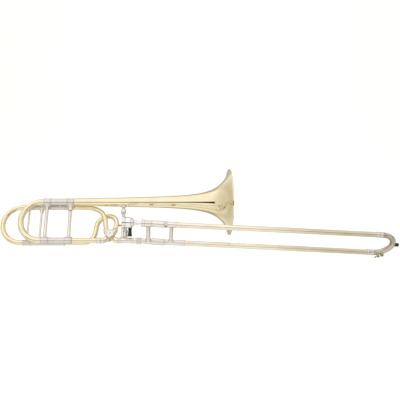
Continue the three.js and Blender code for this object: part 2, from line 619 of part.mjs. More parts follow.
// The key rocks on its pin; its cork closes the nipple.
function waterKey(frame) {
  const corkStart = NIPPLE_REACH + GAP;
  const cupStart = corkStart + CORK_THICK + GAP;
  const cup = hanging(cupStart, cupStart + 2.3, 5);
  const slope = Math.atan2(-cupStart - 2 - KEY_PIN_Y, NIPPLE_X - KEY_PIN_X);
  const front = box(0, NIPPLE_X - KEY_PIN_X, -1.1, 1.1, -2, 2).rotateZ(slope);
  const tail = box(-9, 0, -1.1, 1.1, -3.5, 3.5).rotateZ(18 * DEG);
  const pin = alongZ(rod(-6, 6, 2, 12));
  const bars = [front, tail, pin].map((bar) => bar.translate(KEY_PIN_X, KEY_PIN_Y, 0));
  place(frame, 'water_key_lever', onEndBow(join(...bars, cup)), nickel);
  place(frame, 'water_key_cork', onEndBow(hanging(corkStart, corkStart + CORK_THICK, 4.3)), cork);
}

// ---------------------------------------------------------------- assembly
bellTubes(hornFrame);
neckAndBrace(hornFrame, slideFrame);
fTubing(hornFrame);
stays(hornFrame);
valve(hornFrame);
thumbLever(hornFrame);
tuningSlides(hornFrame);
innerSlide(slideFrame);
mouthpiece(slideFrame);
outerSlide(slideFrame);
endBow(slideFrame);
waterKey(slideFrame);

export default trombone;
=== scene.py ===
"""Looks of the trombone: smooth tubes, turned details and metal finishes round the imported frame.

Shapes are drawn in millimetres in two local frames, the same two that the CAD uses.
Horn frame: x along the bell, y behind it, z from neck to bell. Slide frame: x along the slide,
z from its lower to its upper tube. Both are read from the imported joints.
"""
import json
import math

import bmesh
import bpy
from mathutils import Matrix, Vector

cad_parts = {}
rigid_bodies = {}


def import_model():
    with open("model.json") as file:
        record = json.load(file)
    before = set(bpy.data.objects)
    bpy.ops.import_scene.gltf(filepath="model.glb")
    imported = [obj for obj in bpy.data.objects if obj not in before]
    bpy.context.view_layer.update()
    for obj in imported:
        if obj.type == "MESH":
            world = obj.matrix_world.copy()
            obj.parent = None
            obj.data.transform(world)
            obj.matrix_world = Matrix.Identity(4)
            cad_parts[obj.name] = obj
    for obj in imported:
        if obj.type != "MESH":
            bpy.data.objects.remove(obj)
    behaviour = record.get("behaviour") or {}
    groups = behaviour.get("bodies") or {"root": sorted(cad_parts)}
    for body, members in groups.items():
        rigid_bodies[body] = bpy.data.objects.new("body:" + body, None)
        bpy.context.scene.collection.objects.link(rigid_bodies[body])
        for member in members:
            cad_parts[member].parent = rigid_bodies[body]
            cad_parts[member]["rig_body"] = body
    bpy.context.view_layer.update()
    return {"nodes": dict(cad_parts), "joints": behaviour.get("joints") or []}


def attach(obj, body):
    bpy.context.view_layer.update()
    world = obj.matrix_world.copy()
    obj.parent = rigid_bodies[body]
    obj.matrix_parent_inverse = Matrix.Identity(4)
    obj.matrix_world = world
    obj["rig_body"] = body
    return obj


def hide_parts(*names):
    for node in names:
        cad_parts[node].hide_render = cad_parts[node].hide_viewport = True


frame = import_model()

MM = 0.001
DEG = math.pi / 180

# ---------------------------------------------------------------- driving dimensions, mm
BELL_HEIGHT = 131  # bell axis above the neck's
RIM_X = 294.2
RIM_R = 108
BELL_SEAM_X = 150  # where the flare is brazed to the stem
BELL_TAIL_X = -211.5
BELL_BRACE_X = -51

RECEIVER_START = -286
FERRULE_START = -236
RECEIVER_END = -212
REAR_BRACE_X = -223
MAIN_BOW_X = -314
MAIN_TUBE_R = 9.45
MAIN_LEG_START = -311.2
MAIN_LEG_END = -238
MAIN_BRACE_X = -298.5

F_BOW_X = -381
F_HEIGHT = 121.4  # between the two straight F tubes
F_BEHIND = 22  # F tubes behind the bell's plane
F_TUBE_R = 7.8
F_RECEIVER_START = -347
F_FERRULE_START = -242
F_FIXED_BRACE_X = -320
F_STAY_X = -262
F_LEG_START = -372.2
F_LEG_END = -240
F_BRACE_X = -360

NECK_R = 8.25
NECK_END = -134
BEND_X = -22  # where the gooseneck turns towards the slide
VALVE = (-91.5, 0, 17.5)
LEVER = (-41.5, 0, 38)
GRIP_X = 13.2
GRIP_Y = -7.5
DRIVE_ARM = 30
STOP_ARM = 9.905
STOP_ARM_REST = 31.5 * DEG

SLIDE_SPACING = 88
INNER_START = 39
INNER_END = 717
LOCK_X = 84.5
CATCH_ANGLE = 165 * DEG
OUTER_START = 81
END_X = 739
INNER_BRACE_X = 30
OUTER_BRACE_X = 101
END_R = 44
END_TUBE_R = 8.45
KEY_ANGLE = 23 * DEG  # how far round the end bow the water key sits
NIPPLE_X = 6
KEY_PIN = (-6, -14, 0)


# ---------------------------------------------------------------- frames
def joint(name):
    return next(j for j in frame["joints"] if j["name"] == name)


def axes(x, y, origin):
    matrix = Matrix((x, y, x.cross(y))).transposed().to_4x4()
    matrix.translation = origin
    return matrix


def horn_frame():
    valve = joint("valve_turn")
    turn = axes(Vector((1, 0, 0)), -Vector(valve["axis"]), Vector())
    return Matrix.Translation(Vector(valve["pos_m"]) - turn @ (Vector(VALVE) * MM)) @ turn


def slide_frame():
    along = Vector(joint("hand_slide")["axis"])
    on_upper_tube = Vector(joint("lock_turn")["pos_m"])
    across = on_upper_tube.cross(along).normalized()
    return axes(along, across, Vector(joint("slide_angle")["pos_m"]))


HORN = horn_frame()
SLIDE = slide_frame()
TURNS = {
    "x": Matrix(),
    "y": Matrix.Rotation(90 * DEG, 4, "Z"),
    "z": Matrix.Rotation(-90 * DEG, 4, "Y"),
}


def at(x=0, y=0, z=0, axis="x"):
    """Moves a shape drawn along x to a place, turned to run along another axis."""
    return Matrix.Translation((x, y, z)) @ TURNS[axis]


def place_mm(x, y, z):
    """A place given in millimetres, for a frame in metres."""
    return Matrix.Translation(Vector((x, y, z)) * MM)


# ---------------------------------------------------------------- shapes
class Shape:
    """Vertices and faces in millimetres. Shapes add up to one piece."""

    def __init__(self, verts=(), faces=()):
        self.verts = [Vector(v) for v in verts]
        self.faces = [tuple(f) for f in faces]

    def __add__(self, other):
        start = len(self.verts)
        moved = [tuple(i + start for i in f) for f in other.faces]
        return Shape(self.verts + other.verts, self.faces + moved)

    def to(self, matrix):
        return Shape([matrix @ v for v in self.verts], self.faces)


def total(shapes):
    return sum(shapes, Shape())


def rounded(outline, radius, closed):
    """Rounds the corners of an outline of (along, radius) points."""
    result = []
    count = len(outline)
    for i, point in enumerate(outline):
        corner = Vector(point)
        before = Vector(outline[i - 1]) - corner
        after = Vector(outline[(i + 1) % count]) - corner
        at_end = not closed and i in (0, count - 1)
        if at_end or before.length * after.length == 0 or before.angle(after) > 160 * DEG:
            result.append(corner)
            continue
        cut = min(radius, 0.45 * before.length, 0.45 * after.length)
        start = corner + before.normalized() * cut
        end = corner + after.normalized() * cut
        for step in range(4):
            t = step / 3
            result.append(start * (1 - t) ** 2 + corner * 2 * t * (1 - t) + end * t * t)
    return result


def lathe(outline, closed=True, facets=64, fillet=0.35, ripple=None):
    """A turned shape along x. An open outline starts and ends on the axis."""
    points = rounded(outline, fillet, closed)
    verts = []
    for s in range(facets):
        angle = 2 * math.pi * s / facets
        for x, r in points:
            wide = r + ripple(angle, r) if ripple and r > 0 else r
            verts.append((x, wide * math.cos(angle), wide * math.sin(angle)))
    n = len(points)
    faces = []
    for s in range(facets):
        a = s * n
        b = (s + 1) % facets * n
        for i in range(n if closed else n - 1):
            j = (i + 1) % n
            faces.append((a + i, a + j, b + j, b + i))
    return Shape(verts, faces)


def sleeve(outer, bore, **options):
    """A hollow turned shape: an outer outline and one bore radius, or a list of bore points."""
    if not isinstance(bore, list):
        bore = [(outer[0][0], bore), (outer[-1][0], bore)]
    return lathe(list(outer) + bore[::-1], **options)


def rod(start, end, radius, **options):
    return lathe([(start, 0), (start, radius), (end, radius), (end, 0)], closed=False, **options)


def turned(outline, **options):
    return lathe([(outline[0][0], 0), *outline, (outline[-1][0], 0)], closed=False, **options)


def sweep(points, radius, bore=0, facets=32):
    """A round tube along points, carried without twist. Without a bore it is solid."""
    points = [Vector(p) for p in points]
    last = len(points) - 1
    tangents = []
    for i in range(last + 1):
        tangents.append((points[min(i + 1, last)] - points[max(i - 1, 0)]).normalized())
    side = tangents[0].orthogonal().normalized()
    loops = []
    for i, point in enumerate(points):
        side = (side - tangents[i] * side.dot(tangents[i])).normalized()
        other = tangents[i].cross(side)
        for r in (radius, bore):
            for s in range(facets):
                angle = 2 * math.pi * s / facets
                loops.append(point + (side * math.cos(angle) + other * math.sin(angle)) * r)
    faces = []
    stride = 2 * facets
    for s in range(facets):
        t = (s + 1) % facets
        for i in range(last):
            a = i * stride
            b = a + stride
            faces.append((a + s, a + t, b + t, b + s))
            if bore:
                faces.append((a + facets + t, a + facets + s, b + facets + s, b + facets + t))
        for a in (0, last * stride):
            faces.append((a + s, a + t, a + facets + t, a + facets + s))
    return Shape(loops, faces)


def slab(x0, x1, y0, y1, z0, z1, soft=0.5):
    """A block with rounded edges."""
    bm = bmesh.new()
    bmesh.ops.create_cube(bm, size=1)
    for v in bm.verts:
        v.co = Vector((x0, y0, z0)) + Vector((x1 - x0, y1 - y0, z1 - z0)) * (v.co + Vector((0.5,) * 3))
    bmesh.ops.bevel(bm, geom=bm.edges[:], offset=soft, segments=3, affect="EDGES", profile=0.5)
    shape = Shape([v.co.copy() for v in bm.verts], [[v.index for v in f.verts] for f in bm.faces])
    bm.free()
    return shape


def smooth_path(points):
    """A centripetal Catmull-Rom curve through points."""
    steps = 8
    points = [Vector(p) for p in points]
    points = [2 * points[0] - points[1], *points, 2 * points[-1] - points[-2]]
    path = []
    for p0, p1, p2, p3 in zip(points, points[1:], points[2:], points[3:]):
        d0, d1, d2 = (math.sqrt((b - a).length) for a, b in ((p0, p1), (p1, p2), (p2, p3)))
        m1 = ((p1 - p0) / d0 - (p2 - p0) / (d0 + d1) + (p2 - p1) / d1) * d1
        m2 = ((p2 - p1) / d1 - (p3 - p1) / (d1 + d2) + (p3 - p2) / d2) * d1
        for step in range(steps):
            t = step / steps
            a = 2 * t**3 - 3 * t**2 + 1
            b = t**3 - 2 * t**2 + t
            path.append(p1 * a + m1 * b + p2 * (1 - a) + m2 * (t**3 - t**2))
    return path + [points[-2]]


def bow_path(centre_x, radius, open_x, side):
    """In along x, half round in the xz plane, and out along x."""
    steps = 72
    path = [(open_x, 0, 0)]
    for step in range(steps + 1):
        angle = math.pi * step / steps
        path.append((centre_x + side * radius * math.sin(angle), 0, radius * (1 - math.cos(angle))))
    return path + [(open_x, 0, 2 * radius)]


def saddle(tube_radius, half_length, half_angle):
    """A thin oval plate lying on top of a tube that runs along x, where a brace is soldered on."""
    thick = 1.1
    verts = []
    rings = [(1, -0.3), (1, thick * 0.35), (0.93, thick * 0.8), (0.82, thick), (0.5, thick), (0, thick)]
    count = 48
    for share, lift in rings:
        for s in range(count):
            angle = 2 * math.pi * s / count
            x = share * half_length * math.cos(angle)
            round_tube = share * half_angle * math.sin(angle)
            r = tube_radius + lift
            verts.append((x, r * math.sin(round_tube), r * math.cos(round_tube)))
    faces = []
    for k in range(len(rings) - 1):
        for s in range(count):
            t = (s + 1) % count
            faces.append((k * count + s, k * count + t, (k + 1) * count + t, (k + 1) * count + s))
    faces.append(tuple(range(count)))
    return Shape(verts, faces)


def knurl(count, depth, inner, outer):
    """Fine ridges along x, on the part of a turned shape between two radii."""
    def ripple(angle, r):
        return -depth * (0.5 - 0.5 * math.cos(count * angle)) ** 2 if inner < r < outer else 0

    return ripple


# ---------------------------------------------------------------- pieces
def build(name, shape, local, finish, body):
    """An object from a shape in millimetres, welded, smooth shaded and riding on a body."""
    material, slot = FINISHES[finish]
    mesh = bpy.data.meshes.new(name)
    place = local @ Matrix.Scale(MM, 4)
    mesh.from_pydata([place @ v for v in shape.verts], [], shape.faces)
    bm = bmesh.new()
    bm.from_mesh(mesh)
    bmesh.ops.remove_doubles(bm, verts=bm.verts, dist=1e-6)
    bmesh.ops.dissolve_degenerate(bm, edges=bm.edges, dist=1e-7)
    bmesh.ops.recalc_face_normals(bm, faces=bm.faces)
    bm.to_mesh(mesh)
    bm.free()
    mesh.shade_smooth()
    mesh.set_sharp_from_angle(angle=38 * DEG)
    mesh.materials.append(material)
    obj = bpy.data.objects.new(name, mesh)
    bpy.context.scene.collection.objects.link(obj)
    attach(obj, body)
    return obj


def stand_in(node, shape, local, finish):
    """A finer piece in place of one CAD node, on the same body."""
    obj = build(f"{node}_fine", shape, local, finish, frame["nodes"][node]["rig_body"])
    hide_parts(node)


# ---------------------------------------------------------------- materials
def new_material(name):
    """A material with one lit shader, and the coordinates its patterns are drawn in."""
    material = bpy.data.materials.new(name)
    material.use_nodes = True
    nodes, links = material.node_tree.nodes, material.node_tree.links
    nodes.clear()
    coords = nodes.new("ShaderNodeTexCoord").outputs["Object"]
    shader = nodes.new("ShaderNodeBsdfPrincipled")
    output = nodes.new("ShaderNodeOutputMaterial")
    links.new(shader.outputs["BSDF"], output.inputs["Surface"])
    return material, nodes, links, coords, shader


def noise(nodes, links, coords, scale, detail, stretch=(1, 1, 1)):
    mapping = nodes.new("ShaderNodeMapping")
    mapping.inputs["Scale"].default_value = stretch
    texture = nodes.new("ShaderNodeTexNoise")
    texture.inputs["Scale"].default_value = scale
    texture.inputs["Detail"].default_value = detail
    links.new(coords, mapping.inputs["Vector"])
    links.new(mapping.outputs["Vector"], texture.inputs["Vector"])
    return texture.outputs["Fac"]


def remap(nodes, links, value, low, high, out_low, out_high):
    node = nodes.new("ShaderNodeMapRange")
    limits = {"From Min": low, "From Max": high, "To Min": out_low, "To Max": out_high}
    for socket, number in limits.items():
        node.inputs[socket].default_value = number
    links.new(value, node.inputs["Value"])
    return node.outputs["Result"]


def calculate(nodes, links, operation, *values):
    """One sum on values that are plain numbers or another node's output."""
    node = nodes.new("ShaderNodeMath")
    node.operation = operation
    for socket, value in zip(node.inputs, values):
        if isinstance(value, float):
            socket.default_value = value
        else:
            links.new(value, socket)
    return node.outputs["Value"]


def ramp(nodes, links, value, stops):
    """Levels by position, both from 0 to 1."""
    node = nodes.new("ShaderNodeValToRGB")
    elements = node.color_ramp.elements
    while len(elements) < len(stops):
        elements.new(1)
    for element, (position, level) in zip(elements, stops):
        element.position = position
        element.color = (level, level, level, 1)
    links.new(value, node.inputs["Fac"])
    return node.outputs["Color"]


def blend(nodes, links, share, first, second):
    """Two colours mixed, each a plain colour or another node's output."""
    node = nodes.new("ShaderNodeMix")
    node.data_type = "RGBA"
    links.new(share, node.inputs["Factor"])
    for socket, colour in ((node.inputs[6], first), (node.inputs[7], second)):
        if isinstance(colour, tuple):
            socket.default_value = (*colour, 1)
        else:
            links.new(colour, socket)
    return node.outputs[2]


def raise_surface(nodes, links, shader, height, strength, distance):
    bump = nodes.new("ShaderNodeBump")
    bump.inputs["Strength"].default_value = strength
    bump.inputs["Distance"].default_value = distance
    links.new(height, bump.inputs["Height"])
    links.new(bump.outputs["Normal"], shader.inputs["Normal"])


def metal(name, light, dark, shade_tone, roughness, coat=0.0):
    """Polished metal: slow shifts of tone, hairlines from polishing, painted shade that darkens its concave
    corners.
    """
    material, nodes, links, coords, shader = new_material(name)
    clouds = remap(nodes, links, noise(nodes, links, coords, 22, 3), 0.35, 0.65, 0, 1)
    tone = blend(nodes, links, clouds, light, dark)
    # Painted shade: the colour darkens towards the shade tone in concave corners, found from pointiness.
    corners = nodes.new("ShaderNodeNewGeometry").outputs["Pointiness"]
    corner_shade = remap(nodes, links, corners, 0.47, 0.40, 0, 0.55)
    links.new(blend(nodes, links, corner_shade, tone, shade_tone), shader.inputs["Base Color"])
    shader.inputs["Metallic"].default_value = 1.0
    hairlines = noise(nodes, links, coords, 1, 5, (90, 2600, 2600))
    smudges = noise(nodes, links, coords, 60, 5)
    lined = remap(nodes, links, hairlines, 0.3, 0.7, roughness * 0.5, roughness * 0.9)
    rough = calculate(nodes, links, "MULTIPLY_ADD", smudges, roughness * 0.9, lined)
    links.new(rough, shader.inputs["Roughness"])
    raise_surface(nodes, links, shader, hairlines, 0.15, 0.000004)
    shader.inputs["Coat Weight"].default_value = coat
    shader.inputs["Coat Roughness"].default_value = 0.04
    return material


def rubber_material():
    material, nodes, links, coords, shader = new_material("black_rubber")
    grain = noise(nodes, links, coords, 1400, 3)
    wear = remap(nodes, links, noise(nodes, links, coords, 120, 4), 0.4, 0.7, 0, 1)
    colour = blend(nodes, links, wear, (0.006, 0.006, 0.006), (0.022, 0.021, 0.02))
    links.new(colour, shader.inputs["Base Color"])
    links.new(remap(nodes, links, grain, 0.3, 0.7, 0.42, 0.6), shader.inputs["Roughness"])
    raise_surface(nodes, links, shader, grain, 0.4, 0.00006)
    return material


def cork_material():
    material, nodes, links, coords, shader = new_material("cork")
    cells = nodes.new("ShaderNodeTexVoronoi")
    cells.inputs["Scale"].default_value = 900
    links.new(coords, cells.inputs["Vector"])
    specks = remap(nodes, links, noise(nodes, links, coords, 700, 3), 0.55, 0.68, 0, 1)
    base = blend(nodes, links, cells.outputs["Distance"], (0.26, 0.15, 0.07), (0.40, 0.25, 0.13))
    links.new(blend(nodes, links, specks, base, (0.10, 0.05, 0.025)), shader.inputs["Base Color"])
    shader.inputs["Roughness"].default_value = 0.85
    raise_surface(nodes, links, shader, cells.outputs["Distance"], 0.6, 0.0002)
    return material


# The light tone, the dark tone and the painted corner shade tone of each metal.
BRASS_TONES = ((0.91, 0.81, 0.58), (0.87, 0.76, 0.52), (0.48, 0.35, 0.15))
PALE_BRASS_TONES = ((0.90, 0.82, 0.66), (0.86, 0.77, 0.60), (0.48, 0.37, 0.20))
SATIN_BRASS_TONES = ((0.84, 0.72, 0.54), (0.80, 0.67, 0.48), (0.45, 0.33, 0.16))
OLD_BRASS_TONES = ((0.50, 0.40, 0.26), (0.42, 0.33, 0.20), (0.20, 0.14, 0.07))
NICKEL_TONES = ((0.84, 0.80, 0.74), (0.80, 0.76, 0.70), (0.34, 0.29, 0.22))
WORN_NICKEL_TONES = ((0.75, 0.71, 0.65), (0.70, 0.66, 0.60), (0.32, 0.28, 0.22))
AGED_NICKEL_TONES = ((0.60, 0.56, 0.49), (0.54, 0.50, 0.43), (0.24, 0.20, 0.15))
DARK_NICKEL_TONES = ((0.36, 0.32, 0.26), (0.30, 0.26, 0.21), (0.14, 0.11, 0.08))
SILVER_TONES = ((0.92, 0.90, 0.895), (0.87, 0.845, 0.85), (0.36, 0.33, 0.33))
STEEL_TONES = ((0.50, 0.50, 0.51), (0.42, 0.42, 0.43), (0.12, 0.11, 0.10))
COPPER_TONES = ((0.52, 0.34, 0.24), (0.44, 0.28, 0.20), (0.20, 0.11, 0.07))

# Each finish: its material, and the slot that the record gives it.
FINISHES = {
    "brass": (metal("lacquered_brass", *BRASS_TONES, 0.06, coat=0.5), "lacquered_brass"),
    "pale_brass": (metal("pale_lacquered_brass", *PALE_BRASS_TONES, 0.06, coat=0.5), "lacquered_brass"),
    "old_brass": (metal("unlacquered_brass", *OLD_BRASS_TONES, 0.2), "lacquered_brass"),
    "nickel": (metal("nickel_silver", *NICKEL_TONES, 0.09, coat=0.2), "nickel_silver"),
    "satin_brass": (metal("satin_brass", *SATIN_BRASS_TONES, 0.42), "lacquered_brass"),
    "satin_nickel": (metal("satin_nickel_silver", *NICKEL_TONES, 0.42), "nickel_silver"),
    "dull_nickel": (metal("worn_nickel_silver", *WORN_NICKEL_TONES, 0.12), "nickel_silver"),
    "aged_nickel": (metal("aged_nickel_silver", *AGED_NICKEL_TONES, 0.14), "nickel_silver"),
    "dark_nickel": (metal("dark_nickel_silver", *DARK_NICKEL_TONES, 0.25), "nickel_silver"),
    "silver": (metal("silver_plate", *SILVER_TONES, 0.08), "silver_plate"),
    "steel": (metal("plain_steel", *STEEL_TONES, 0.26), "steel"),
    "copper": (metal("lacquered_copper", *COPPER_TONES, 0.16, coat=0.4), "copper"),
    "rubber": (rubber_material(), "black_rubber"),
    "cork": (cork_material(), "cork"),
}


# ---------------------------------------------------------------- bell section
def bell_radius(x):
    back = RIM_X - x
    stem = 20.6 - 0.0178 * back
    return stem + (RIM_R - 20.6) * (1 + back / 128) ** -3.74


def bell_wall(start, end, stations, crowding):
    """Points along the outside and the inside of the bell's wall, crowded towards its end."""
    outer = []
    inner = []
    for i in range(stations + 1):
        x = end - (end - start) * (1 - i / stations) ** crowding
        slope = (bell_radius(x + 0.1) - bell_radius(x - 0.1)) / 0.2
        wall = 0.8 / math.hypot(1, slope)
        outer.append((x, bell_radius(x)))
        inner.append((x + slope * wall, bell_radius(x) - wall))
    return outer, inner


def bell():
    """The drawn stem and the spun flare, which has a rolled bead round its rim."""
    place = HORN @ place_mm(0, 0, BELL_HEIGHT)
    outer, inner = bell_wall(BELL_TAIL_X, BELL_SEAM_X, 24, 1)
    stand_in("bell_stem", lathe(outer + inner[::-1], facets=160, fillet=0), place, "brass")
    outer, inner = bell_wall(BELL_SEAM_X, RIM_X - 3.2, 60, 1.9)
    bead = []
    bead_r = 2.4
    for step in range(1, 12):
        angle = (205 - 230 * step / 12) * DEG
        x = RIM_X - bead_r + bead_r * math.cos(angle)
        bead.append((x, RIM_R - bead_r + bead_r * math.sin(angle)))
    flare = lathe(outer + bead + inner[::-1], facets=160, fillet=0)
    stand_in("bell_flare", flare, place, "brass")


def banded(start, end, radius, lift, bore):
    """A ferrule: a sleeve with a raised bead near each end."""
    outer = [
        (start, radius + lift * 0.4), (start + 1.2, radius + lift), (start + 2.6, radius + lift),
        (start + 3.4, radius), (end - 3.4, radius), (end - 2.6, radius + lift),
        (end - 1.2, radius + lift), (end, radius + lift * 0.4),
    ]
    return sleeve(outer, bore)


def receivers():
    start, step, end = RECEIVER_START, FERRULE_START, RECEIVER_END
    outline = [(start, 10.9), (start + 2, 11.4), (start + 4.5, 11.4), (start + 5.5, 11.1), (step, 11.1)]
    ferrule = [
        (step, 11.6), (step + 1, 12.4), (step + 3, 12.6), (step + 5, 11.7), (end - 4, 11.7),
        (end - 1.8, 12.6), (end, 11.8),
    ]
    upper = sleeve(outline, 10.3) + sleeve(ferrule, 10.3)
    stand_in("upper_slide_receiver", upper, HORN @ place_mm(0, 0, BELL_HEIGHT), "dull_nickel")
    outline = [(start, 9.3), (start + 2, 9.8), (start + 4.5, 9.8), (start + 5.5, 9.4), (step, 9.4)]
    ferrule = [
        (step, 9.6), (step + 1.4, 10.3), (step + 3.4, 10.3), (step + 4.6, 9.8), (end - 4, 9.8),
        (end - 2.2, 10.3), (end, 9.4),
    ]
    lower = sleeve(outline, 8.8) + sleeve(ferrule, 8.8)
    stand_in("lower_slide_receiver", lower, HORN, "dull_nickel")


def neck():
    tube = sleeve([(BELL_TAIL_X - 0.2, NECK_R), (NECK_END - 0.2, NECK_R)], NECK_R - 0.8)
    stand_in("neck_tube", tube, HORN, "brass")
    inlet = banded(NECK_END, NECK_END + 13.2, 8.9, 0.6, 7.4)
    stand_in("valve_inlet_ferrule", inlet, HORN, "nickel")
    path = [(VALVE[0] + 27, 0, 0)]
    for step in range(17):
        t = step / 16
        path.append((BEND_X - 20 + 19.8 * t, 0, -0.25 * t * t))
    tube = sweep(path, NECK_R, NECK_R - 0.8, facets=48)
    tube += banded(-64.5, -57, 8.6, 0.5, 7.6)
    stand_in("gooseneck", tube, HORN, "nickel")
    collar = sleeve([(-23, 8.6), (-21.5, 9.4), (-19.5, 9.4), (-18.5, 8.9), (-4.2, 8.9)], 8.4)
    stand_in("neck_receiver", collar, SLIDE, "nickel")


def post(outline, span, lower, upper, saddles):
    """A turned brace from a tube of radius lower to one of radius upper.

    saddles gives the half length and the half angle of the plates that it is soldered on.
    """
    length, spread = saddles
    foot = saddle(lower, length, spread)
    head = saddle(upper, length, spread).to(at(z=span) @ Matrix.Rotation(180 * DEG, 4, "X"))
    return turned(outline).to(TURNS["z"]) + foot + head


def tube_post(span, lower, upper, radius, collar):
    """A plain round brace, with a flared collar at each end."""
    low = lower - 0.5
    high = span - upper + 0.5
    outline = [
        (low, collar), (low + 2.4, collar), (low + 3.6, collar - 1), (low + 5.2, radius + 0.3),
        (low + 7, radius), (high - 7, radius), (high - 5.2, radius + 0.3), (high - 3.6, collar - 1),
        (high - 2.4, collar), (high, collar),
    ]
    return post(outline, span, lower, upper, (collar * 1.5, 50 * DEG))


def bell_braces():
    low, high = 9.8, BELL_HEIGHT - 12.5
    rear = [
        (low, 7.6), (low + 2.5, 7.6), (low + 4, 6.4), (low + 6.5, 5.4), (94, 5.4), (96, 6.1), (97.5, 6.1),
        (98.5, 5.6), (101, 7.0), (104, 7.6), (108, 7.6), (111, 7.0), (113, 5.6), (114.5, 6.6), (high, 7.4),
    ]
    shape = post(rear, BELL_HEIGHT, 10.2, 12.9, (12, 48 * DEG))
    stand_in("rear_brace", shape, HORN @ place_mm(REAR_BRACE_X, 0, 0), "nickel")
    bell_r = bell_radius(BELL_BRACE_X)
    top = BELL_HEIGHT - bell_r + 0.6
    front = [
        (7.8, 7.6), (10.6, 7.6), (12, 6.4), (15, 5.4), (84, 5.2), (86, 6.0), (87.5, 6.0), (88.5, 5.6),
        (91, 7.2), (95, 8.3), (101, 8.3), (105, 7.2), (107.5, 5.4), (109, 5.2), (111, 6.2), (top, 6.8),
    ]
    shape = post(front, BELL_HEIGHT, NECK_R, bell_r, (12, 42 * DEG))
    stand_in("bell_brace", shape, HORN @ place_mm(BELL_BRACE_X, 0, 0), "nickel")
    strut = turned(
        [(-64.6, 3.4), (-62.4, 3.2), (-61.6, 2.4), (-58.6, 2.4), (-57.8, 3.2), (-56, 3.4)], fillet=0.3,
    )
    stand_in("loop_strut", strut, HORN @ place_mm(0, 4, 52), "copper")


# ---------------------------------------------------------------- F tubing
# Points along the two fixed tubes, in the horn frame.
UPPER_RUN = [
    (-235.6, 22, 121.4), (-212, 22, 121.4), (-188, 22, 121), (-160, 20, 118.5), (-142, 18, 112.5),
    (-126, 14, 102), (-115, 9, 87), (-109.2, 6, 69), (-107.2, 2.5, 53), (-105.2, 0.2, 42), (-105, 0, 36.9),
]
LOWER_RUN = [
    (-76, 0, 37.4), (-75.4, 0.2, 41), (-72.2, 3.4, 54), (-74, 8, 68), (-82, 12.5, 81), (-94, 18, 87.5),
    (-105, 22.5, 88.5), (-116, 26, 86), (-126, 28, 80), (-134.6, 28, 70), (-139, 27, 56), (-140.5, 26, 42),
    (-143, 24.5, 28), (-148.5, 23.5, 16), (-158, 22.5, 6.5), (-171, 22, 1.5), (-185, 22, 0),
    (-210, 22, 0), (-235.6, 22, 0),
]


def f_tubing():
    for node, run in (("f_upper_tube", UPPER_RUN), ("f_lower_tube", LOWER_RUN)):
        stand_in(node, sweep(smooth_path(run), F_TUBE_R, F_TUBE_R - 0.7, facets=40), HORN, "brass")
    for node, height in (("f_upper_receiver", F_HEIGHT), ("f_lower_receiver", 0)):
        start, step = F_RECEIVER_START, F_FERRULE_START
        outline = [(start, 8.5), (start + 1.6, 9.0), (start + 3.6, 9.0), (start + 4.6, 8.6), (step, 8.6)]
        shape = sleeve(outline, 8.0) + banded(step, step + 6.2, 8.8, 0.5, 7.9)
        stand_in(node, shape, HORN @ place_mm(0, F_BEHIND, height), "dull_nickel")
    outline = [
        (8.2, 5.6), (10.6, 5.6), (12.5, 4.2), (15, 3.4), (96, 3.4), (99, 4.0), (104, 5.4), (108, 6.6),
        (F_HEIGHT - 8.6, 7.0),
    ]
    shape = post(outline, F_HEIGHT, 8.6, 8.6, (9.5, 45 * DEG))
    stand_in("f_fixed_brace", shape, HORN @ place_mm(F_FIXED_BRACE_X, F_BEHIND, 0), "nickel")
    stays = (("f_upper_stay", BELL_HEIGHT, F_HEIGHT - BELL_HEIGHT, 11.1), ("f_lower_stay", 0, 0, 9.4))
    for node, height, fall, radius in stays:
        span = math.hypot(F_BEHIND, fall)
        lean = Matrix.Rotation(math.atan2(fall, F_BEHIND), 4, "X") @ TURNS["y"]
        shape = turned([(radius - 0.6, 3.6), (radius + 1, 3), (span - 9.4, 3), (span - 8, 3.6)]).to(lean)
        stand_in(node, shape, HORN @ place_mm(F_STAY_X, 0, height), "nickel")


# ---------------------------------------------------------------- rotary valve
# Each knuckle's path, seen from the front, and the length of its nickel end collar, if any.
KNUCKLES = [
    ([(-7, -7), (-14, -17.5), (-29, -17.5)], 11),
    ([(7, -7), (14, -17.5), (27, -17.5)], 4),
    ([(-7, 4), (-13.5, 8), (-13.5, 18.5)], 0),
    ([(7, 6), (14.5, 9), (15.5, 18.5)], 0),
]


def knuckle(points):
    """A bent tube out of the casing, and the frame at its end."""
    first, corner, last = (Vector((x, 0, z)) for x, z in points)
    path = []
    for step in range(25):
        t = step / 24
        path.append(first * (1 - t) ** 2 + corner * 2 * t * (1 - t) + last * t * t)
    turn = (last - corner).normalized().to_track_quat("X", "Z").to_matrix().to_4x4()
    return sweep(path, 8.6, 7.2, facets=40), Matrix.Translation(last) @ turn


def screw_head(radius, height):
    """A small domed screw along x with a slot, its head rising from zero."""
    outline = [
        (-0.6, radius), (height * 0.5, radius), (height * 0.85, radius * 0.75), (height, radius * 0.2),
    ]
    half = radius * 0.8
    return turned(outline, facets=32) + slab(height * 0.4, height + 0.05, -half, half, -0.25, 0.25, 0.1)


def knuckles(place):
    bends = Shape()
    collars = Shape()
    for points, length in KNUCKLES:
        bend, end = knuckle(points)
        bends += bend
        if length:
            collars += banded(-length, 0, 8.7, 0.5, 7.4).to(end)
    build("knuckles", bends, place, "brass", "bell_section")
    build("knuckle_collars", collars, place, "nickel", "bell_section")


def valve_cap(place):
    """The knurled front cap with its raised rim and the nipple in its middle."""
    cap = turned(
        [
            (-24, 1.9), (-23.2, 4), (-23.0, 8.8), (-23.6, 10), (-23.9, 12.2), (-22.8, 14.4), (-21.6, 15),
            (-16.4, 15), (-15.6, 14.4), (-14.4, 14.2),
        ],
        facets=144, ripple=knurl(72, 0.5, 14.7, 16),
    )
    cap += turned([(-25.6, 1.2), (-25.2, 2.3), (-23, 2.6), (-22.5, 2.6)], facets=32)
    stand_in("valve_cap", cap.to(TURNS["y"]), place, "nickel")


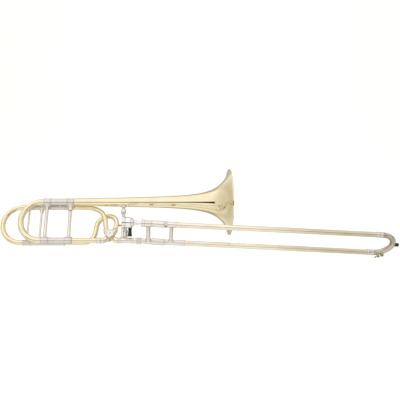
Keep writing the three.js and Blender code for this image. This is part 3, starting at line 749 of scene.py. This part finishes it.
def valve():
    place = HORN @ place_mm(*VALVE)
    shell = [
        (-14, 14.8), (-12.6, 15.2), (-10.6, 15.2), (-9.8, 14.7), (9.8, 14.7), (10.6, 15.2), (12.6, 15.2),
        (14, 14.8),
    ]
    stand_in("valve_casing", sleeve(shell, 13.2, facets=96).to(TURNS["y"]), place, "satin_brass")
    knuckles(place)
    valve_cap(place)
    plate = sleeve([(14.2, 14.6), (14.8, 15.1), (16.8, 15.1), (17.3, 14.6)], 3.5, facets=96)
    bearing = sleeve([(17.2, 6.4), (20.6, 6.2), (21.4, 5.6)], 3.6)
    stand_in("valve_rear_plate", (plate + bearing).to(TURNS["y"]), place, "nickel")
    rotor = turned([(-20, 2.9), (-14, 2.9), (-13.6, 12.9), (13.6, 12.9), (14, 2.9), (25.2, 2.9)])
    stand_in("valve_rotor", rotor.to(TURNS["y"]), place, "brass")
    stops(place)


def stops(place):
    """The stop plate above the rotor's stem and the two corks that the stop arm swings between."""
    arc = []
    for step in range(33):
        angle = (25 + 130 * step / 32) * DEG
        arc.append((12.2 * math.cos(angle), 19.2, 12.2 * math.sin(angle)))
    plate = sweep(arc, 1.7, facets=16)
    corks = Shape()
    for side in (-1, 1):
        plate += rod(17, 21.4, 3, facets=32).to(at(side * 11, 0, 5, "y"))
        corks += rod(21.2, 24.2, 2, facets=32).to(at(side * 11, 0, 5, "y"))
    stand_in("stop_plate", plate, place, "nickel")
    build("stop_corks", corks, place, "cork", "bell_section")
    pin_x = -STOP_ARM * math.sin(STOP_ARM_REST)
    pin_z = -STOP_ARM * math.cos(STOP_ARM_REST)
    hub = sleeve([(22, 5.8), (24.9, 5.8)], 3.2).to(TURNS["y"])
    eye = sleeve([(22, 5.4), (24.9, 5.4)], 3.7).to(at(pin_x, 0, pin_z, "y"))
    stand_in("stop_arm", hub + eye, place, "steel")
    screw = screw_head(2.6, 1.0).to(at(0, 24.9, 0, "y"))
    build("stop_arm_screw", screw, place, "steel", "valve_rotor")


# ---------------------------------------------------------------- thumb lever and link
def thumb_lever():
    place = HORN @ place_mm(*LEVER)
    bearing = sleeve(
        [(-10, 3.4), (-9, 4), (-7.6, 4), (-7, 3.5), (15, 3.5), (15.6, 4), (17, 4), (18, 3.4)], 2.3,
    )
    stand_in("lever_bearing", bearing.to(TURNS["y"]), place, "nickel")
    shaft = rod(-18.2, 24.8, 2, facets=32).to(TURNS["y"])
    shaft += screw_head(3.2, 1.1).to(at(0, -18.6, 0, "y") @ Matrix.Rotation(180 * DEG, 4, "Z"))
    stand_in("lever_shaft", shaft, place, "steel")
    arm_path = smooth_path([
        (0, -16, 0), (0, -16, 6), (3, -16, 9.6), (GRIP_X - 5, -15.4, 10.4), (GRIP_X - 1, -12, 10.4),
        (GRIP_X, -8.6, 9.8), (GRIP_X, GRIP_Y, 7.6),
    ])
    arm = sleeve([(-17.5, 4.6), (-17, 5), (-15, 5), (-14.5, 4.6)], 2.2).to(TURNS["y"])
    arm += sweep(arm_path, 1.9, facets=24)
    arm += rod(-26, 9, 1.9, facets=24).to(at(GRIP_X, GRIP_Y, 0, "z"))
    stand_in("thumb_lever_arm", arm, place, "nickel")
    grip()
    drive = sleeve([(21, 4.8), (21.5, 5.2), (23.5, 5.2), (24, 4.8)], 2.2).to(TURNS["y"])
    flat_bar = at(y=22.5) @ Matrix.Diagonal((1, 0.4, 1, 1)) @ TURNS["z"]
    drive += rod(-DRIVE_ARM - 3.6, -3, 3.8).to(flat_bar)
    drive += rod(22, 29, 1.4, facets=24).to(at(z=-DRIVE_ARM, axis="y"))
    stand_in("drive_arm", drive, place, "satin_nickel")
    coil = []
    for step in range(97):
        angle = 2 * math.pi * step / 32
        coil.append((3.4 * math.cos(angle), 18.4 + 2.2 * step / 96, 3.4 * math.sin(angle)))
    stand_in("lever_spring", sweep(coil, 0.3, facets=10), place, "steel")


def grip():
    outline = [
        (12, 5.8), (12.8, 6.7), (14, 7.0), (17, 6.7), (21, 5.9), (26, 5.4), (31.5, 5.4), (36.5, 5.9),
        (40.5, 6.7), (43.5, 7.0), (44.7, 6.7), (45.5, 5.8),
    ]
    place = HORN @ place_mm(LEVER[0] + GRIP_X, GRIP_Y, 0)
    stand_in("thumb_grip", sleeve(outline, 2.2, facets=80).to(TURNS["z"]), place, "rubber")


def link():
    swing = Vector((math.sin(STOP_ARM_REST), 0, math.cos(STOP_ARM_REST)))
    stop = Vector(VALVE) - STOP_ARM * swing
    drive = Vector(LEVER) - Vector((0, 0, DRIVE_ARM))
    behind = Vector((0, 27.1, 0))
    inset = (drive - stop).normalized() * 3
    bar = sweep([stop + inset + behind, drive - inset + behind], 1.3, facets=24)
    eye = sleeve([(25.7, 3.7), (26.3, 4), (28, 4), (28.5, 3.7)], 1.8).to(at(*drive, "y"))
    knob = rod(25.7, 28.5, 3.1).to(at(*stop, "y")) + rod(22.3, 26, 1.2, facets=24).to(at(*stop, "y"))
    stand_in("link_rod", bar + eye + knob, HORN, "steel")


# ---------------------------------------------------------------- tuning slides
def leg(start, ferrule, radius, end):
    """One leg of a tuning slide, with a ferrule where it meets the bow."""
    ferrule_end = start + 24.6
    shape = banded(start, ferrule_end, ferrule - 0.6, 0.6, radius - 0.6)
    return shape + sleeve([(ferrule_end - 0.5, radius), (end, radius)], radius - 0.6)


def tuning_slides():
    path = bow_path(MAIN_BOW_X, BELL_HEIGHT / 2, MAIN_BOW_X + 2.7, -1)
    stand_in("main_tuning_bow", sweep(path, MAIN_TUBE_R, MAIN_TUBE_R - 0.8, 48), HORN, "brass")
    upper = HORN @ place_mm(0, 0, BELL_HEIGHT)
    shape = leg(MAIN_LEG_START, 12.1, 9.8, MAIN_LEG_END)
    stand_in("main_upper_leg", shape, upper, "dull_nickel")
    shape = leg(MAIN_LEG_START, 10.5, 8.3, MAIN_LEG_END)
    stand_in("main_lower_leg", shape, HORN, "dull_nickel")
    brace = tube_post(BELL_HEIGHT, 10, 11.6, 5.4, 7.6)
    stand_in("main_slide_brace", brace, HORN @ place_mm(MAIN_BRACE_X, 0, 0), "nickel")
    path = bow_path(F_BOW_X, F_HEIGHT / 2, F_BOW_X + 8.7, -1)
    bow = sweep(path, F_TUBE_R, F_TUBE_R - 0.7, 40)
    stand_in("f_tuning_bow", bow, HORN @ place_mm(0, F_BEHIND, 0), "brass")
    for node, height in (("f_upper_leg", F_HEIGHT), ("f_lower_leg", 0)):
        place = HORN @ place_mm(0, F_BEHIND, height)
        stand_in(node, leg(F_LEG_START, 9.1, 7.5, F_LEG_END), place, "dull_nickel")
    brace = tube_post(F_HEIGHT, 8.6, 8.6, 3.2, 5)
    stand_in("f_slide_brace", brace, HORN @ place_mm(F_BRACE_X, F_BEHIND, 0), "nickel")


# ---------------------------------------------------------------- slide section
def inner_slide():
    tenon = [
        (-16, 7.8), (-15, 8.1), (8, 8.1), (9, 7.9), (21, 7.9), (22.4, 9.4), (24, 9.4), (25, 9), (38, 9),
    ]
    stand_in("slide_tenon", sleeve(tenon, 7), SLIDE, "nickel")
    nut = sleeve(
        [(-7, 10.4), (-6, 11.5), (-4.4, 11.5), (-3.9, 11), (5.4, 11), (5.9, 11.5), (7.2, 11.5), (8, 10.6)],
        [(-7, 9.7), (-3.7, 9.7), (-3.5, 8.5), (8, 8.5)], facets=216,
        ripple=knurl(54, 0.55, 10.6, 11.2),
    )
    stand_in("slide_nut", nut, SLIDE, "nickel")
    upper = place_mm(0, 0, SLIDE_SPACING)
    receiver = sleeve(
        [(9, 10.8), (9.8, 11.4), (12, 11.4), (12.8, 10.9), (17.2, 10.9), (18, 11.4), (19.6, 11.4),
         (20.4, 9.7), (38.4, 9.6)],
        [(9, 7), (38.4, 6.4)],
    )
    stand_in("mouthpiece_receiver", receiver, SLIDE @ upper, "nickel")
    barrel = [
        (38.9, 9.6), (39.8, 10.5), (42, 10.5), (42.8, 10.1), (75.6, 10.1), (76.6, 10.8), (79, 10.8), (80, 10),
    ]
    for node, place in (("lower", Matrix()), ("upper", upper)):
        stand_in(f"{node}_cork_barrel", sleeve(barrel, 7.4), SLIDE @ place, "nickel")
        step = INNER_END - 30
        tube = sleeve([(INNER_START, 6.9), (step, 6.9), (step + 2, 7.05), (INNER_END, 7.05)], 6.5)
        stand_in(f"{node}_inner_tube", tube, SLIDE @ place, "nickel")
    outline = [
        (8.6, 8.0), (11, 8.0), (12.4, 7.9), (15, 7.4), (19, 6.6), (68, 6.6), (71, 7.0), (73, 8.2),
        (78.4, 8.2),
    ]
    brace = post(outline, SLIDE_SPACING, 9, 9.6, (8, 55 * DEG))
    stand_in("inner_slide_brace", brace, SLIDE @ place_mm(INNER_BRACE_X, 0, 0), "nickel")
    slide_lock(upper)


def slide_lock(upper):
    """The knurled lock ring, and the crossed bars of its catch on the player's side."""
    lock = sleeve(
        [(80.4, 10.2), (81, 10.9), (87.8, 10.9), (88.6, 10.2)], 9.5, facets=180,
        ripple=knurl(45, 0.5, 10.6, 12),
    )
    stand_in("slide_lock_ring", lock, SLIDE @ upper, "nickel")
    bar = slab(-4, 4, 10.2, 12, -1.2, 1.2)
    crossed = total(bar.to(Matrix.Rotation(turn * DEG, 4, "Y")) for turn in (-35, 35))
    catch_place = at(LOCK_X, 0, SLIDE_SPACING) @ Matrix.Rotation(CATCH_ANGLE, 4, "X")
    build("slide_lock_catch", crossed.to(catch_place), SLIDE, "old_brass", "slide_lock")


def mouthpiece():
    rim = -50
    outer = [
        (rim, 15), (rim + 0.6, 17.2), (rim + 2, 18.9), (rim + 4, 19.6), (rim + 6.5, 19.4), (rim + 9, 18.2),
        (rim + 11.5, 16.7), (rim + 13, 16.3), (rim + 20, 16.5), (rim + 25, 16.3), (rim + 28.5, 15.4),
        (rim + 32, 13.6), (rim + 34.8, 11), (rim + 36.8, 8.4), (rim + 38, 7.2), (rim + 40.5, 6.9),
        (rim + 43, 7.4), (rim + 44.4, 7.4), (rim + 45.4, 6.6), (rim + 52, 6.3), (rim + 84, 5.8),
    ]
    inner = [
        (rim, 15), (rim + 0.4, 13.8), (rim + 2.5, 12.9), (rim + 7, 12.6), (rim + 12, 12), (rim + 17, 10.8),
        (rim + 22, 9), (rim + 26, 6.4), (rim + 29, 4.4), (rim + 33, 3.6), (rim + 40, 3.6), (rim + 84, 5),
    ]
    shape = lathe(outer + inner[:0:-1], facets=128, fillet=0.5)
    stand_in("mouthpiece", shape, SLIDE @ place_mm(0, 0, SLIDE_SPACING), "silver")


def outer_slide():
    for node, height, sleeve_end, ferrule in (("lower", 0, 146, 19.5), ("upper", SLIDE_SPACING, 115, 15)):
        place = SLIDE @ place_mm(0, 0, height)
        start = OUTER_START
        tube = sleeve([(start, 7.95), (END_X - 0.2, 7.95)], 7.45)
        stand_in(f"{node}_outer_tube", tube, place, "pale_brass")
        over = [
            (start, 8.6), (start + 0.8, 9.1), (start + 3, 9.1), (start + 3.8, 8.7),
            (sleeve_end - 3.4, 8.7), (sleeve_end - 2.8, 9.1), (sleeve_end - 1, 9.1), (sleeve_end, 8.4),
        ]
        stand_in(f"{node}_oversleeve", sleeve(over, 8.05), place, "nickel")
        band = banded(END_X - ferrule, END_X - 0.1, 8.7, 0.6, 8.05)
        stand_in(f"{node}_end_ferrule", band, place, "nickel")
    brace = tube_post(SLIDE_SPACING, 8.7, 8.7, 6.1, 8)
    stand_in("outer_slide_brace", brace, SLIDE @ place_mm(OUTER_BRACE_X, 0, 0), "nickel")


# The water key's own frame sits on the end bow: x along the bow, -y square to the slide's plane.
KEY_PLACE = (
    at(END_X + END_R * math.sin(KEY_ANGLE), 0, END_R * (1 - math.cos(KEY_ANGLE)))
    @ Matrix.Rotation(-KEY_ANGLE, 4, "Y")
)
HANGING = at(NIPPLE_X) @ Matrix.Rotation(-90 * DEG, 4, "Z")


def end_bow():
    bow = sweep(bow_path(END_X, END_R, END_X - 0.2, 1), END_TUBE_R, END_TUBE_R - 0.9, 48)
    stand_in("end_bow", bow, SLIDE, "aged_nickel")
    nipple = sleeve([(7.2, 5.6), (8.8, 5.4), (9.4, 4.4), (10.3, 4.2), (10.5, 3.9)], 2.2, facets=40)
    pin_x, pin_y, _ = KEY_PIN
    ears = saddle(END_TUBE_R, 5, 50 * DEG).to(at(pin_x) @ Matrix.Rotation(90 * DEG, 4, "X"))
    for z in (-4.8, 4.8):
        ears += slab(pin_x - 2.8, pin_x + 2.8, pin_y - 2.6, -6.5, z - 0.8, z + 0.8, 0.5)
    fittings = (nipple.to(HANGING) + ears).to(KEY_PLACE)
    build("water_key_fittings", fittings, SLIDE, "old_brass", "outer_slide")
    tip = END_X + END_R + END_TUBE_R
    place = SLIDE @ place_mm(0, 0, END_R)
    bumper = turned(
        [(tip - 3, 6.4), (tip, 6.2), (tip + 1.2, 5.5), (tip + 9.4, 5.5), (tip + 10.8, 5), (tip + 11, 4)],
        fillet=0.8,
    )
    stand_in("slide_bumper", bumper, place, "rubber")


def water_key():
    cup = [(14.1, 0), (14.1, 4.9), (15.6, 5), (16.6, 4), (16.8, 0)]
    pin = Vector(KEY_PIN)
    cup_back = Vector((NIPPLE_X, -16, 0))
    end = pin + Vector((-8.6, -2.8, 0))
    shape = lathe(cup, closed=False).to(HANGING)
    sag = Vector((0, -0.8, 0))
    shape += sweep(smooth_path([cup_back, (cup_back + pin) / 2 + sag, pin]), 1.4, facets=24)
    shape += sweep(smooth_path([pin, (end + pin) / 2 - sag, end]), 1.4, facets=24)
    thumb_pad = lathe([(-1.0, 0), (-1.0, 3.3), (1.0, 3.3), (1.0, 0)], closed=False, fillet=0.7)
    shape += thumb_pad.to(Matrix.Translation(end) @ Matrix.Rotation(-55 * DEG, 4, "Z"))
    shape += rod(-3.8, 3.8, 2.3).to(at(*pin, "z")) + rod(-6.2, 6.2, 1.3, facets=24).to(at(*pin, "z"))
    stand_in("water_key_lever", shape.to(KEY_PLACE), SLIDE, "dark_nickel")
    cork = rod(10.6, 14.2, 4.7, fillet=0.5)
    stand_in("water_key_cork", cork.to(KEY_PLACE @ HANGING), SLIDE, "cork")


# ---------------------------------------------------------------- studio, in metres
ROOM_STRENGTH = 1.12
PANEL_LEVEL = 0.6
SLIT_LEVEL = 0.04
SLIT_FALL = 0.08  # the slit's middle is this far below the horizon
FLOOR_Z = -0.62
WALL_TOP_Z = 3.5
WALL_Y = 2.6
WALL_BEND = 1.0
FAR_WALL_R = 4
LAMP_PLACE = (0.4, -2.4, 2.6)
LAMP_TARGET = (0.6, 1.2, 0.2)
CAMERA_PLACE = (0.0720, -1.6354, 0.0627)
CAMERA_YAW = -0.0101
CAMERA_PITCH = 0.0407
CAMERA_ROLL = 0.0005


def room_levels(nodes, links, x, z, back, off_centre):
    """The white room's levels front to back, across and upwards, and those of the panel behind."""
    depth = ramp(nodes, links, back, [(0, 1), (0.62, 1), (0.74, 0.78), (1, 0.78)])
    across = ramp(nodes, links, remap(nodes, links, x, -1, 1, 0, 1), [
        (0, 0.66), (0.12, 0.8), (0.25, 1), (0.57, 1), (0.645, 0.79), (0.69, 0.67), (0.75, 0.67), (0.82, 0.85),
        (0.93, 0.8), (1, 0.4),
    ])
    upwards = ramp(nodes, links, remap(nodes, links, z, -1, 1, 0, 1), [
        (0, 0.95), (0.04, 0.84), (0.13, 0.82), (0.22, 0.96), (0.5, 1),
    ])
    front = ramp(nodes, links, back, [(0, 1), (0.70, 1), (0.77, 0)])
    beside = ramp(nodes, links, off_centre, [(0, 0), (0.3, 0), (0.42, 1)])
    off_panel = calculate(nodes, links, "MAXIMUM", front, beside)
    return depth, across, upwards, remap(nodes, links, off_panel, 0, 1, PANEL_LEVEL, 1)


def slit_level(nodes, links, z, back, off_centre):
    """Full, but for one dark slit in front of the object, just below the horizon."""
    off_level = calculate(nodes, links, "ABSOLUTE", calculate(nodes, links, "ADD", z, SLIT_FALL))
    behind = ramp(nodes, links, back, [(0, 0), (0.4, 0), (0.45, 1)])
    above = ramp(nodes, links, off_level, [(0, 0), (0.12, 0), (0.14, 1)])
    past = ramp(nodes, links, off_centre, [(0, 0), (0.72, 0), (0.78, 1)])
    outside = calculate(nodes, links, "MAXIMUM", calculate(nodes, links, "MAXIMUM", above, past), behind)
    return remap(nodes, links, outside, 0, 1, SLIT_LEVEL, 1)


def studio_world():
    """A white room whose dimmer parts are warmer, with one dark slit."""
    world = bpy.data.worlds.new("studio")
    world.use_nodes = True
    nodes, links = world.node_tree.nodes, world.node_tree.links
    nodes.clear()
    direction = nodes.new("ShaderNodeTexCoord").outputs["Generated"]
    split = nodes.new("ShaderNodeSeparateXYZ")
    links.new(direction, split.inputs["Vector"])
    x, y, z = (split.outputs[axis] for axis in "XYZ")
    back = remap(nodes, links, y, -1, 1, 0, 1)
    off_centre = calculate(nodes, links, "ABSOLUTE", x)
    level = slit_level(nodes, links, z, back, off_centre)
    for factor in room_levels(nodes, links, x, z, back, off_centre):
        level = calculate(nodes, links, "MULTIPLY", level, factor)
    tint = nodes.new("ShaderNodeCombineColor")
    for channel, power in (("Red", 1.0), ("Green", 1.06), ("Blue", 1.35)):
        links.new(calculate(nodes, links, "POWER", level, power), tint.inputs[channel])
    background = nodes.new("ShaderNodeBackground")
    background.inputs["Strength"].default_value = ROOM_STRENGTH
    links.new(tint.outputs["Color"], background.inputs["Color"])
    output = nodes.new("ShaderNodeOutputWorld")
    links.new(background.outputs["Background"], output.inputs["Surface"])
    bpy.context.scene.world = world


def paper_material():
    material, nodes, links, coords, shader = new_material("pale_paper")
    fibres = noise(nodes, links, coords, 40, 4)
    paper = blend(nodes, links, fibres, (0.93, 0.93, 0.93), (0.95, 0.95, 0.95))
    links.new(paper, shader.inputs["Base Color"])
    shader.inputs["Roughness"].default_value = 0.9
    return material


def paper_sheet(name, first, second, material):
    """A smooth sheet between two rows of points, left out of the metal's reflections."""
    n = len(first)
    faces = [(i, i + 1, n + i + 1, n + i) for i in range(n - 1)]
    mesh = bpy.data.meshes.new(name)
    mesh.from_pydata(first + second, [], faces)
    mesh.shade_smooth()
    mesh.materials.append(material)
    obj = bpy.data.objects.new(name, mesh)
    bpy.context.scene.collection.objects.link(obj)
    obj.visible_glossy = False
    return obj


def backdrop():
    """A pale floor that curves up into a wall behind, and a far round wall that casts no shadow."""
    paper = paper_material()
    bend_y = WALL_Y - WALL_BEND
    bend_z = FLOOR_Z + WALL_BEND
    profile = [(-4.0, FLOOR_Z), (bend_y, FLOOR_Z)]
    for step in range(1, 17):
        angle = math.pi / 2 * step / 16
        profile.append((bend_y + WALL_BEND * math.sin(angle), bend_z - WALL_BEND * math.cos(angle)))
    profile.append((WALL_Y, WALL_TOP_Z))
    left, right = ([(x, y, z) for y, z in profile] for x in (-5, 5))
    paper_sheet("backdrop", left, right, paper)
    circle = []
    for step in range(97):
        angle = math.pi * step / 48
        circle.append((FAR_WALL_R * math.cos(angle), FAR_WALL_R * math.sin(angle)))
    low, high = ([(x, y, z) for x, y in circle] for z in (FLOOR_Z, WALL_TOP_Z))
    far_wall = paper_sheet("far_wall", low, high, paper)
    far_wall.visible_diffuse = False
    far_wall.visible_shadow = False


def lamp():
    """One wide soft lamp above the camera."""
    light = bpy.data.lights.new("key", "AREA")
    light.shape = "RECTANGLE"
    light.size = 3.0
    light.size_y = 2.0
    light.energy = 75
    obj = bpy.data.objects.new("key", light)
    obj.location = LAMP_PLACE
    obj.rotation_euler = (Vector(LAMP_TARGET) - Vector(LAMP_PLACE)).to_track_quat("-Z", "Y").to_euler()
    obj.visible_glossy = False
    bpy.context.scene.collection.objects.link(obj)


def camera():
    data = bpy.data.cameras.new("camera")
    data.sensor_width = 36
    data.lens = 46.4
    data.shift_x = 0.083
    obj = bpy.data.objects.new("camera", data)
    turn = Matrix.Rotation(CAMERA_YAW, 4, "Z") @ Matrix.Rotation(CAMERA_PITCH, 4, "X")
    turn = turn @ Matrix.Rotation(CAMERA_ROLL, 4, "Y") @ Matrix.Rotation(90 * DEG, 4, "X")
    obj.matrix_world = Matrix.Translation(CAMERA_PLACE) @ turn
    bpy.context.scene.collection.objects.link(obj)
    bpy.context.scene.camera = obj


# ---------------------------------------------------------------- scene
bell()
receivers()
neck()
bell_braces()
f_tubing()
valve()
thumb_lever()
link()
tuning_slides()
inner_slide()
mouthpiece()
outer_slide()
end_bow()
water_key()
bpy.context.scene.view_settings.view_transform = "Standard"
studio_world()
backdrop()
lamp()
camera()
